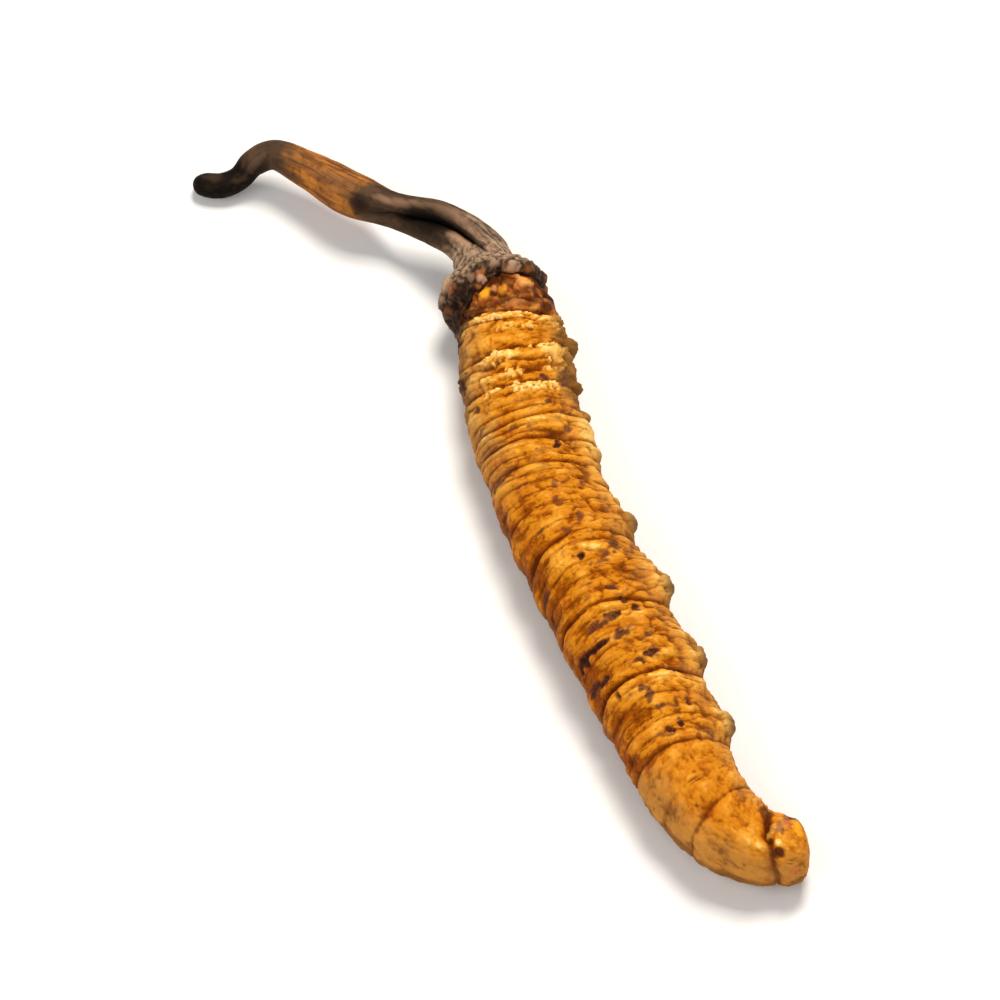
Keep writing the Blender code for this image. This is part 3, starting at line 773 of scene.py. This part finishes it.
def larva_skin(settings):
    """The skin's points and shades. Its radius is the plain radius plus rings, creases, legs, lumps and
    wrinkles, each a function of the place on the straight cylinder."""
    skin = Skin(settings.rows, settings.columns)
    broken, thorax, tail, head, middle = skin.broken, skin.thorax, skin.tail, skin.head, skin.middle
    legs, soles_and_shade, near_legs = leg_relief(skin)
    rings, ring_lines = ring_relief(skin)
    relief = (RING_WEIGHT * rings + crease_relief(skin)) * (1 - 0.8 * near_legs) + segment_relief(skin)
    relief *= 1 - head
    lump, wrinkle = settings.lump_height / MM, settings.wrinkle_depth / MM
    where = {
        "lumps": lump * np.maximum(broken, 0.75 * thorax) * middle * (1 - 0.5 * near_legs),
        "arcs": wrinkle * middle * (1 - 0.4 * broken),
        "breaks": wrinkle * (middle + 0.5 * tail),
        "crumbs": 1 + 0.54 * tail,
        "grit": thorax,
        "ripples": tail,
        "knobs": head,
    }
    folds, shapes = skin.folds(SKIN_FOLDS, where)
    crests, pale = crest_relief(skin, shapes["grit"])
    relief += 0.14 * skin.waves(1.5, 2.2, 1) + 0.12 * skin.waves(0.85, 1.2, 10)
    relief += folds + seam_relief(skin) + crests + legs
    crumbs = shapes["crumbs"]
    pale, scab, stains = skin_marks(skin, relief, pale, crumbs)

    plain = body_radius(skin.s)
    points = BODY.points(skin.s, skin.angle + 0 * skin.s, plain + relief * np.minimum(plain, 1))
    above = np.maximum(points[..., 2] - HIGHEST, 0)
    points[..., 2] -= above - WORN_RISE * np.tanh(above / WORN_RISE)

    patches = skin.waves(1.9, 2.1, 42, 0, 3)
    streaks = skin.waves(0.50, 1.0, 43, WARP, 3)
    off_back = smoothstep(125, 165, skin.off_belly + 12 * patches + 12 * streaks)
    tone, hollow = skin_tone(skin, relief, patches, streaks, off_back)
    turn = np.degrees(skin.angle) % 360
    # Painted shade: the skin is darkened along its outline on the belly side and where it turns under
    under = smoothstep(178, 192, turn + 5 * patches + 28 * thorax) * smoothstep(352, 338, turn)
    edge = smoothstep(48 + 24 * thorax, 26 + 20 * thorax, skin.off_belly + 6 * patches)
    horn = smoothstep(-0.20, 0.50, skin.waves(0.7, 0.8, 44, WARP, 3)) * (1 - stains["char_and_shade"])
    soot = smoothstep(0.15, 0.50, skin.waves(0.6, 0.7, 46, WARP, 3)) * (1 - pale)
    red = 0.30 * smoothstep(0.1, 0.7, skin.waves(1.0, 1.2, 45, 0, 3)) * middle * (1 - 0.6 * thorax)
    red_tail = smoothstep(0.15, 0.6, skin.waves(0.45, 0.60, 47, 0, 3)) * (1 - 0.6 * off_back)
    # The scab shade also darkens each proleg's sole: partly its own dark, partly painted shade
    scab = held(np.maximum(scab * (1 - pale) * held(0.66 + 0.6 * crumbs), 0.6 * soles_and_shade))
    # This shade also holds painted shade in the head's hollows, besides its dark stains.
    char_and_shade = np.maximum(0.88 * stains["char_and_shade"] * (1 - pale), head * np.maximum(0.72 * hollow, 0.66 * soot))
    shades = {
        **stains,
        "pattern": skin.straight,
        "tone": tone,
        "lines": held(0.8 * middle + 0.25 * tail),
        "belly": 0.35 * smoothstep(80, 45, skin.off_belly + 14 * patches) * (1 - head),
        "dust": 0.5 * off_back * np.maximum(0.8 * tail, smoothstep(18, 12, skin.along)) * (1 - head),
        "red": red + 0.45 * red_tail * tail,
        # Painted shade in the hollows of the relief, with the real dark lines at the bottoms of the furrows
        "furrow": np.clip(0.50 * hollow + 0.5 * ring_lines * (1 - head), 0, 0.8),
        "knob": (0.55 + 0.25 * thorax) * near_legs,
        # Painted shade along the outline
        "edge": np.maximum((0.55 + 0.2 * thorax) * edge, 0.7 * under) * (1 - head),
        "head": 0.92 * head,
        "horn": 0.90 * horn * head,
        "scab": 0.92 * scab,
        "char_and_shade": char_and_shade + 0.60 * smoothstep(0.62, 0.90, scab) * middle,
        "plum": np.maximum(stains["plum"], 0.8 * scab * (1 - scab) * middle),
        "pale": smoothstep(0.04, 0.72, pale),
        "flake": smoothstep(0.50, 1.00, pale),
    }
    return pressed(points), shades


def dried_skin(settings):
    """Dried insect skin: thin chitin shrunk onto a packed core, waxy and half matt. What it gives the eye is
    a deep golden ochre, lighter on the ridges, brown and dull in every furrow, flecked with purple-brown.
    The lighter ridges and darker furrows are partly painted light and shade, and the outline on the belly
    and underneath is darkened with painted shade."""
    material, tree, shader, place = new_material("dried larva skin")
    # Tone, furrow and char mix painted light and shade into real colour; edge is all painted shade
    layers = (
        ("belly", "#CE9850"), ("dust", "#B48C50"), ("red", "#A84410"), ("furrow", settings.furrow_colour),
        ("knob", "#80561F"), ("edge", "#764C20"), ("head", settings.head_colour), ("horn", "#C27632"),
        ("scab", settings.scab_colour), ("char_and_shade", "#240E06"), ("plum", "#6E5048"), ("rose", "#B85040"),
        ("gold", "#F2A41E"), ("blush", "#D08E56"), ("pale", "#F8B450"), ("flake", settings.flake_colour),
    )
    stops = (
        (0.20, "#5A2600"), (0.45, "#964A02"), (0.67, settings.skin_colour), (0.91, "#E49C34"),
        (1.00, settings.worn_colour),
    )
    names = ("tone", "lines", "furrow")
    tone, lines, furrow = (add_node(tree, "Attribute", {}, "Fac", attribute_name=name) for name in names)
    # Fine specks, and fine lines that run round the body as the rings do, 0.45 mm apart along it
    specks = {"Vector": place, "Scale": per_metre(0.30), "Detail": 3.0, "Roughness": 0.6}
    specks = add_node(tree, "TexNoise", specks)
    pattern = add_node(tree, "Attribute", {}, "Vector", attribute_name="pattern")
    pattern = {0: pattern, 1: (1 / 0.45, 1 / 1.1, 1 / 1.1)}
    pattern = add_node(tree, "VectorMath", pattern, operation="MULTIPLY")
    wave = {"Vector": pattern, "Scale": 1.0, "Detail": 2.0, "Roughness": 0.6, "Distortion": 0.3}
    wave = add_node(tree, "TexNoise", wave)
    away = add_node(tree, "Math", {0: wave, 1: 0.5}, operation="SUBTRACT")
    away = add_node(tree, "Math", {0: away}, operation="ABSOLUTE")
    line = {"Value": away, "From Min": 0.0, "From Max": 0.055, "To Min": lines, "To Max": 0.0}
    line = add_node(tree, "MapRange", line, interpolation_type="SMOOTHSTEP")
    tone = add_node(tree, "Math", {0: specks, 1: 0.30, 2: tone}, operation="MULTIPLY_ADD")
    tone = add_node(tree, "Math", {0: line, 1: -0.15, 2: tone}, operation="MULTIPLY_ADD")
    colour = add_node(tree, "ValToRGB", {"Fac": tone})
    ramp = colour.node.color_ramp
    ramp.interpolation = "EASE"
    for position, _ in stops[2:]:
        ramp.elements.new(position)
    for element, (position, shade) in zip(ramp.elements, stops):
        element.position = position
        element.color = linear(shade)
    rough = {"Value": furrow, "From Min": 0.0, "From Max": 0.5, "To Min": 0.55, "To Max": 0.80}
    grain = {"Vector": place, "Scale": per_metre(0.15), "Detail": 4.0, "Roughness": 0.7}
    grain = add_node(tree, "TexNoise", grain)
    height = add_node(tree, "Math", {0: line, 1: -1.2, 2: grain}, operation="MULTIPLY_ADD")
    feed(shader, {
        "Base Color": laid_over(tree, colour, layers),
        "Roughness": add_node(tree, "MapRange", rough),
        "Specular IOR Level": 0.035,
        "Normal": add_node(tree, "Bump", {"Height": height, "Strength": 0.6, "Distance": 0.03 * MM}),
    })
    return material


# ---- the stem --------------------------------------------------------------------------------------


def groove_at(s):
    """The groove's angle round the stem, and the half width of the painted shadow at its bottom."""
    places, degrees, widths = np.array(GROOVE_PATH).T
    return np.radians(np.interp(s, places, degrees)), np.interp(s, places, widths)


def strands_outline(s, angle, radius):
    """The radius of two round strands side by side, which are one where they start."""
    begun = held((s - STRANDS_START) / STRANDS_FADE)
    apart = STRANDS_APART * radius * begun * held((STEM.length - s) / STRANDS_FADE)
    off_groove = angle - groove_at(s)[0] + math.pi / 2
    across = apart * np.sin(off_groove)
    return apart * np.abs(np.cos(off_groove)) + np.sqrt(np.maximum((radius - apart) ** 2 - across**2, 0))


def moved_out(grid, relief):
    """The grid moved outwards by the relief, square to its rows and its columns, which go round."""
    around = np.roll(grid, -1, axis=1) - np.roll(grid, 1, axis=1)
    return grid + unit(np.cross(around, np.gradient(grid, axis=0))) * relief[..., None]


def bark_grid(rows, columns):
    """The plain stem: the stalk from its tip to its root, the collar that swells over the head and thins down
    to its rim, and the hollow that the head stands in. Gives the points, the distance along, the angle, the
    radius of its pattern, its own radius, and how far each point is on the outside."""
    angle = (2 * math.pi * np.arange(columns) / columns)[None, :]
    s = np.linspace(BARK_START, STEM.length, rows - COLLAR_ROWS - SEAT_ROWS - len(TIP_ROWS))
    s, angles = np.broadcast_arrays(np.concatenate([TIP_ROWS, s])[:, None], angle)
    radius = STEM.read(s)[..., 3] * np.sqrt(1 - (1 - held(s / TIP_DOME)) ** 2)
    outline = strands_outline(s, angles, radius)

    part = np.linspace(0, 1, COLLAR_ROWS + 1)[1:, None]
    long_side = np.cos(angle - COLLAR_LONG_SIDE)
    ring = np.stack([np.cos(angle), np.sin(angle), 0 * angle], axis=-1) * 3
    rim = COLLAR_MIDDLE + COLLAR_SWING * long_side + 0.24 * waves(ring / 0.8, 50)
    t = rim * part
    root, full = STEM_LINE[-1][3], COLLAR_RADIUS + COLLAR_LEAN * long_side
    swollen = root + (full - root) * np.sin(held(t / COLLAR_SWELL) * math.pi / 2)
    thinned = np.sqrt(held(1 - (held(part - 1 + COLLAR_TAPER) / COLLAR_TAPER) ** 2))
    seat = body_radius(t) - RIM_SINK
    swollen = seat + np.maximum(swollen - seat, 0.1) * thinned
    t_seat = rim * np.linspace(0.97, 0.05, SEAT_ROWS)[:, None]
    inner = body_radius(t_seat)
    grid = np.concatenate([
        STEM.points(s, angles, outline),
        BODY.points(t, angle + 0 * t, swollen),
        BODY.points(t_seat, angle + 0 * t_seat, inner - RIM_SINK),
    ])
    along = np.concatenate([s, STEM.length + t, STEM.length + t_seat])
    outside = np.concatenate([np.ones_like(s), smoothstep(0, 0.3, thinned + 0 * t), 0 * t_seat])
    patterned, own = (np.concatenate([stalk, swollen, inner]) for stalk in (radius, outline))
    return grid, along, angle + 0 * along, patterned, own, outside


def stem_bark(settings):
    """The bark's points and shades. The relief, a function of the place along and across the stem, moves each
    point of the plain stem outwards."""
    grid, along, angle, thick, own, outside = bark_grid(settings.rows, settings.columns)
    over = along - STEM.length
    bark = Pattern(along, angle, thick)
    bark.warp = np.stack([bark.waves(0.6, 0.6, seed) for seed in (61, 62, 63)], axis=-1)
    streak, towards_root = settings.streak_depth / MM, smoothstep(-3, 0.5, over)
    where = {
        "knobs": smoothstep(-0.5, 0.7, over),
        "streaks": streak,
        "fibres": streak,
        "cobbles": towards_root,
        "grains": towards_root,
    }
    relief, shapes = bark.folds(BARK_FOLDS, where)
    relief += 0.05 * bark.waves(2.2, 1.0, 53) * smoothstep(0.5, 3, along)
    relief += 0.08 * bark.waves(0.9, 0.9, 57) * smoothstep(-4, 0, over)
    pale, dark = np.zeros_like(along), np.zeros_like(along)
    ragged = 1 + 0.35 * bark.waves(0.45, 0.45, 58)
    streaks = bark.waves(3.0, 0.55, 60, 0, 3)
    # Painted highlights on the strands' tops and painted shade under the upper strand are among these
    for near, (paleness,) in domes(STEM_PATCHES, along, angle, thick, 0.75 * ragged):
        shade = pale if paleness > 0 else dark
        shown = near**2 * held(0.9 + 0.8 * streaks) if paleness > 0 else near
        np.maximum(shade, np.abs(paleness) * shown, out=shade)
    mottled = np.clip(0.9 + 0.8 * bark.waves(0.4, 0.4, 66, 0, 3), 0.5, 1)
    # Some dark collar lumps are painted shade on its sides, and one pale one a painted highlight
    for near, (height, paleness) in domes(COLLAR_LUMPS, over, angle, thick, ragged):
        relief += height * near
        shade = pale if paleness > 0 else dark
        np.maximum(shade, np.abs(paleness) * smoothstep(0, 0.6, near**2) * mottled, out=shade)
    relief *= outside * smoothstep(0.0, 0.5, along)
    # How far each point lies below its neighbours: for painted shade in hollows and painted light on crests
    hollow = ((blurred(relief, 2) - relief) / 0.024 + (blurred(relief, 6) - relief) / 0.08) * outside

    # Painted shadow: the bottom of the groove between the strands, darkened to near black
    groove_angle, width = groove_at(along)
    off_groove = turned(angle - groove_angle)
    groove = bell(own * np.sin(off_groove), width) * smoothstep(0, 0.3, np.cos(off_groove))
    groove *= smoothstep(12.6, 14.6, along) * (1 - smoothstep(19.5, 20.5, along))
    patches = bark.waves(1.4, 1.4, 59, 0, 3)
    fine = bark.waves(0.35, 0.35, 65, 0, 3)
    burnt = smoothstep(0.75, 1.6, over + 0.5 * patches)
    root = smoothstep(16.2, 19.5, along + 1.2 * patches)
    speckled = root * (1 - 0.8 * burnt)
    rubbed_end = np.interp(np.degrees(angle), *np.array(RUBBED_END, float).T)
    rubbed = smoothstep(0.9, -1.1, along - rubbed_end + 0.6 * patches + 0.5 * streaks)
    rubbed *= smoothstep(5.8, 8.7, along + 0.5 * patches + 0.7 * streaks)
    worn_off = rubbed * bell(np.degrees(angle) - 110 - 20 * patches, 26) * smoothstep(7.0, 9.5, along)
    shades = {
        "brown": 0.6 * smoothstep(-0.1, 0.5, patches),
        "root": root,
        "rubbed": rubbed,
        "orange": 0.9 * rubbed * smoothstep(-0.3, 0.4, streaks) * (1 - worn_off),
        "russet": 0.8 * rubbed * smoothstep(0.0, -0.5, streaks),
        "grey": 0.55 * worn_off,
        "burnt": 0.90 * burnt,
        "speckle": 0.62 * speckled * smoothstep(0.0, 0.5, fine),
        "smudge": (0.35 + 0.25 * root) * smoothstep(0.0, -0.6, fine),
        # Painted light on the raised bark, and painted shade in its hollows
        "crest": 0.6 * speckled * held(-hollow),
        "hollow": 0.75 * held(hollow),
        "crumb": 0.70 * burnt * smoothstep(0.0, 0.4, bark.waves(0.8, 0.8, 64)) * shapes["knobs"],
        "tip": (0.97 - 0.12 * smoothstep(0.0, 0.6, fine)) * smoothstep(5.2, 3.0, along + 0.5 * patches),
        # Partly painted shade and highlights, and in the groove a painted shadow
        "dark": 0.93 * dark,
        "pale": 0.85 * pale,
        "groove": 0.97 * groove,
    }
    return pressed(moved_out(grid, relief)), shades


def dried_bark(settings):
    """The dry outer layer of the fungus stem: fibrous and woody, half matt. What it gives the eye is near black
    to grey-brown with soft long streaks, rubbed through to orange-tan, taupe and crumbly at the root, with
    painted shade in its hollows and groove and painted highlights on its crests and strands' tops."""
    material, tree, shader, place = new_material("dried stem bark")
    # hollow, groove and dark carry painted shade, crest and pale painted light, beside the bark's colours
    layers = (
        ("brown", "#5A4430"), ("root", settings.root_colour), ("rubbed", settings.rubbed_colour),
        ("orange", "#C07830"), ("russet", "#74421E"), ("grey", "#6A4C38"), ("burnt", "#4C3020"),
        ("speckle", "#B0906E"), ("smudge", "#2C1C10"), ("crest", "#B8987A"), ("hollow", "#20140A"),
        ("crumb", settings.crumb_colour), ("tip", settings.tip_colour), ("dark", "#1E120C"),
        ("pale", settings.pale_colour), ("groove", "#080503"),
    )
    grain = {"Vector": place, "Scale": per_metre(0.14), "Detail": 4.0, "Roughness": 0.7}
    grain = add_node(tree, "TexNoise", grain)
    feed(shader, {
        "Base Color": laid_over(tree, linear(settings.bark_colour), layers),
        "Roughness": 0.60,
        "Specular IOR Level": 0.05,
        "Normal": add_node(tree, "Bump", {"Height": grain, "Strength": 0.35, "Distance": 0.04 * MM}),
    })
    return material


# ---- the stage -------------------------------------------------------------------------------------


def add_floor(settings):
    """A pale disc a little below the object's underside."""
    turn = 2 * math.pi * np.arange(96) / 96
    rim = np.stack([np.cos(turn), np.sin(turn), 0 * turn], axis=-1) * FLOOR_RADIUS
    mesh = bpy.data.meshes.new("floor")
    mesh.from_pydata(rim, [], [list(range(len(rim)))])
    material, tree, shader, place = new_material("pale board")
    clouds = add_node(tree, "TexNoise", {"Vector": place, "Scale": per_metre(40.0), "Detail": 2.0})
    shade = {"Value": clouds, "From Min": 0.3, "From Max": 0.7, "To Max": 0.10}
    shade = add_node(tree, "MapRange", shade)
    tints = {0: shade, 6: linear(settings.floor_colour), 7: linear("#E6E3DE")}
    feed(shader, {"Base Color": add_node(tree, "Mix", tints, 2, data_type="RGBA"), "Roughness": 0.75})
    mesh.materials.append(material)
    return add_object("floor", mesh)


def add_light(aim, name, place, size, power, colour):
    """A square soft light at a place, turned to its aim."""
    lamp = bpy.data.lights.new(name, "AREA")
    lamp.size = size
    lamp.energy = power
    lamp.color = linear(colour)[:3]
    light = add_object(name, lamp)
    light.location = place
    light.rotation_euler = (aim - light.location).to_track_quat("-Z", "Y").to_euler()


def add_camera(settings, aim):
    """The camera looks along +Y and down, from the distance and elevation given, through a long lens."""
    lens = bpy.data.cameras.new("camera")
    lens.angle = 2 * math.atan(settings.view_width / 2 / settings.distance)
    lens.clip_start = 0.05
    camera = add_object("camera", lens)
    back, up = math.cos(settings.elevation), math.sin(settings.elevation)
    camera.location = (aim.x, aim.y - settings.distance * back, aim.z + settings.distance * up)
    camera.rotation_euler = (math.pi / 2 - settings.elevation, 0, 0)
    bpy.context.scene.camera = camera


# ---- operators, panel and registration -------------------------------------------------------------


class CORDYCEPS_OT_larva(bpy.types.Operator):
    """Adds the dried larva in place of its plain solid"""

    bl_idname = "cordyceps.larva"
    bl_label = "Add the Larva"

    def execute(self, context):
        settings = context.scene.cordyceps_larva
        points, shades = larva_skin(settings)
        front, back = BODY.read(np.array([0.0, BODY.length]))[:, :3]
        piece = add_skin("larva_skin", points, front, back, shades, dried_skin(settings))
        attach(piece, "root")
        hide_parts("larva")
        return {"FINISHED"}


class CORDYCEPS_OT_stem(bpy.types.Operator):
    """Adds the dried fungus stem in place of its plain solid"""

    bl_idname = "cordyceps.stem"
    bl_label = "Add the Stem"

    def execute(self, context):
        settings = context.scene.cordyceps_stem
        points, shades = stem_bark(settings)
        tip, deepest = STEM.read(0.0)[:3], BODY.read(0.0)[:3]
        piece = add_skin("stem_bark", points, tip, deepest, shades, dried_bark(settings))
        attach(piece, "root")
        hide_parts("stem")
        return {"FINISHED"}


class CORDYCEPS_OT_stage(bpy.types.Operator):
    """Adds the camera, the soft lights and the pale floor"""

    bl_idname = "cordyceps.stage"
    bl_label = "Add the Stage"

    def execute(self, context):
        settings = context.scene.cordyceps_stage
        low, high = CAD_BOUNDS
        aim = (low + high) / 2
        add_camera(settings, aim)
        add_floor(settings)
        for light in LIGHTS:
            add_light(aim, *light)
        world = bpy.data.worlds.new("pale room")
        world.use_nodes = True
        background = world.node_tree.nodes["Background"]
        background.inputs["Color"].default_value = linear("#FBFCFF")
        background.inputs["Strength"].default_value = 0.26
        context.scene.world = world
        context.scene.view_settings.view_transform = "Standard"
        return {"FINISHED"}


class CORDYCEPS_PT_panel(bpy.types.Panel):
    """Lists the pieces of the dried cordyceps and their settings"""

    bl_idname = "CORDYCEPS_PT_panel"
    bl_label = "Dried Cordyceps"
    bl_space_type = "VIEW_3D"
    bl_region_type = "UI"
    bl_category = "Cordyceps"

    def draw(self, context):
        for operator, name in STEPS:
            box = self.layout.box()
            box.operator(operator)
            settings = getattr(context.scene, name)
            for key in settings.bl_rna.properties.keys():
                if key not in ("rna_type", "name"):
                    box.prop(settings, key)


STEPS = (
    ("cordyceps.stage", "cordyceps_stage"),
    ("cordyceps.larva", "cordyceps_larva"),
    ("cordyceps.stem", "cordyceps_stem"),
)
GROUPS = {
    "cordyceps_stage": CordycepsStageSettings,
    "cordyceps_larva": CordycepsLarvaSettings,
    "cordyceps_stem": CordycepsStemSettings,
}
OPERATORS = (CORDYCEPS_OT_stage, CORDYCEPS_OT_larva, CORDYCEPS_OT_stem)


def register():
    for made in (*GROUPS.values(), *OPERATORS, CORDYCEPS_PT_panel):
        bpy.utils.register_class(made)
    for name, group in GROUPS.items():
        setattr(bpy.types.Scene, name, PointerProperty(type=group))


def unregister():
    for name in GROUPS:
        delattr(bpy.types.Scene, name)
    for made in (CORDYCEPS_PT_panel, *reversed(OPERATORS), *reversed(GROUPS.values())):
        bpy.utils.unregister_class(made)


def main():
    register()
    bpy.ops.cordyceps.stage()
    bpy.ops.cordyceps.larva()
    bpy.ops.cordyceps.stem()


if __name__ == "__main__":
    main()
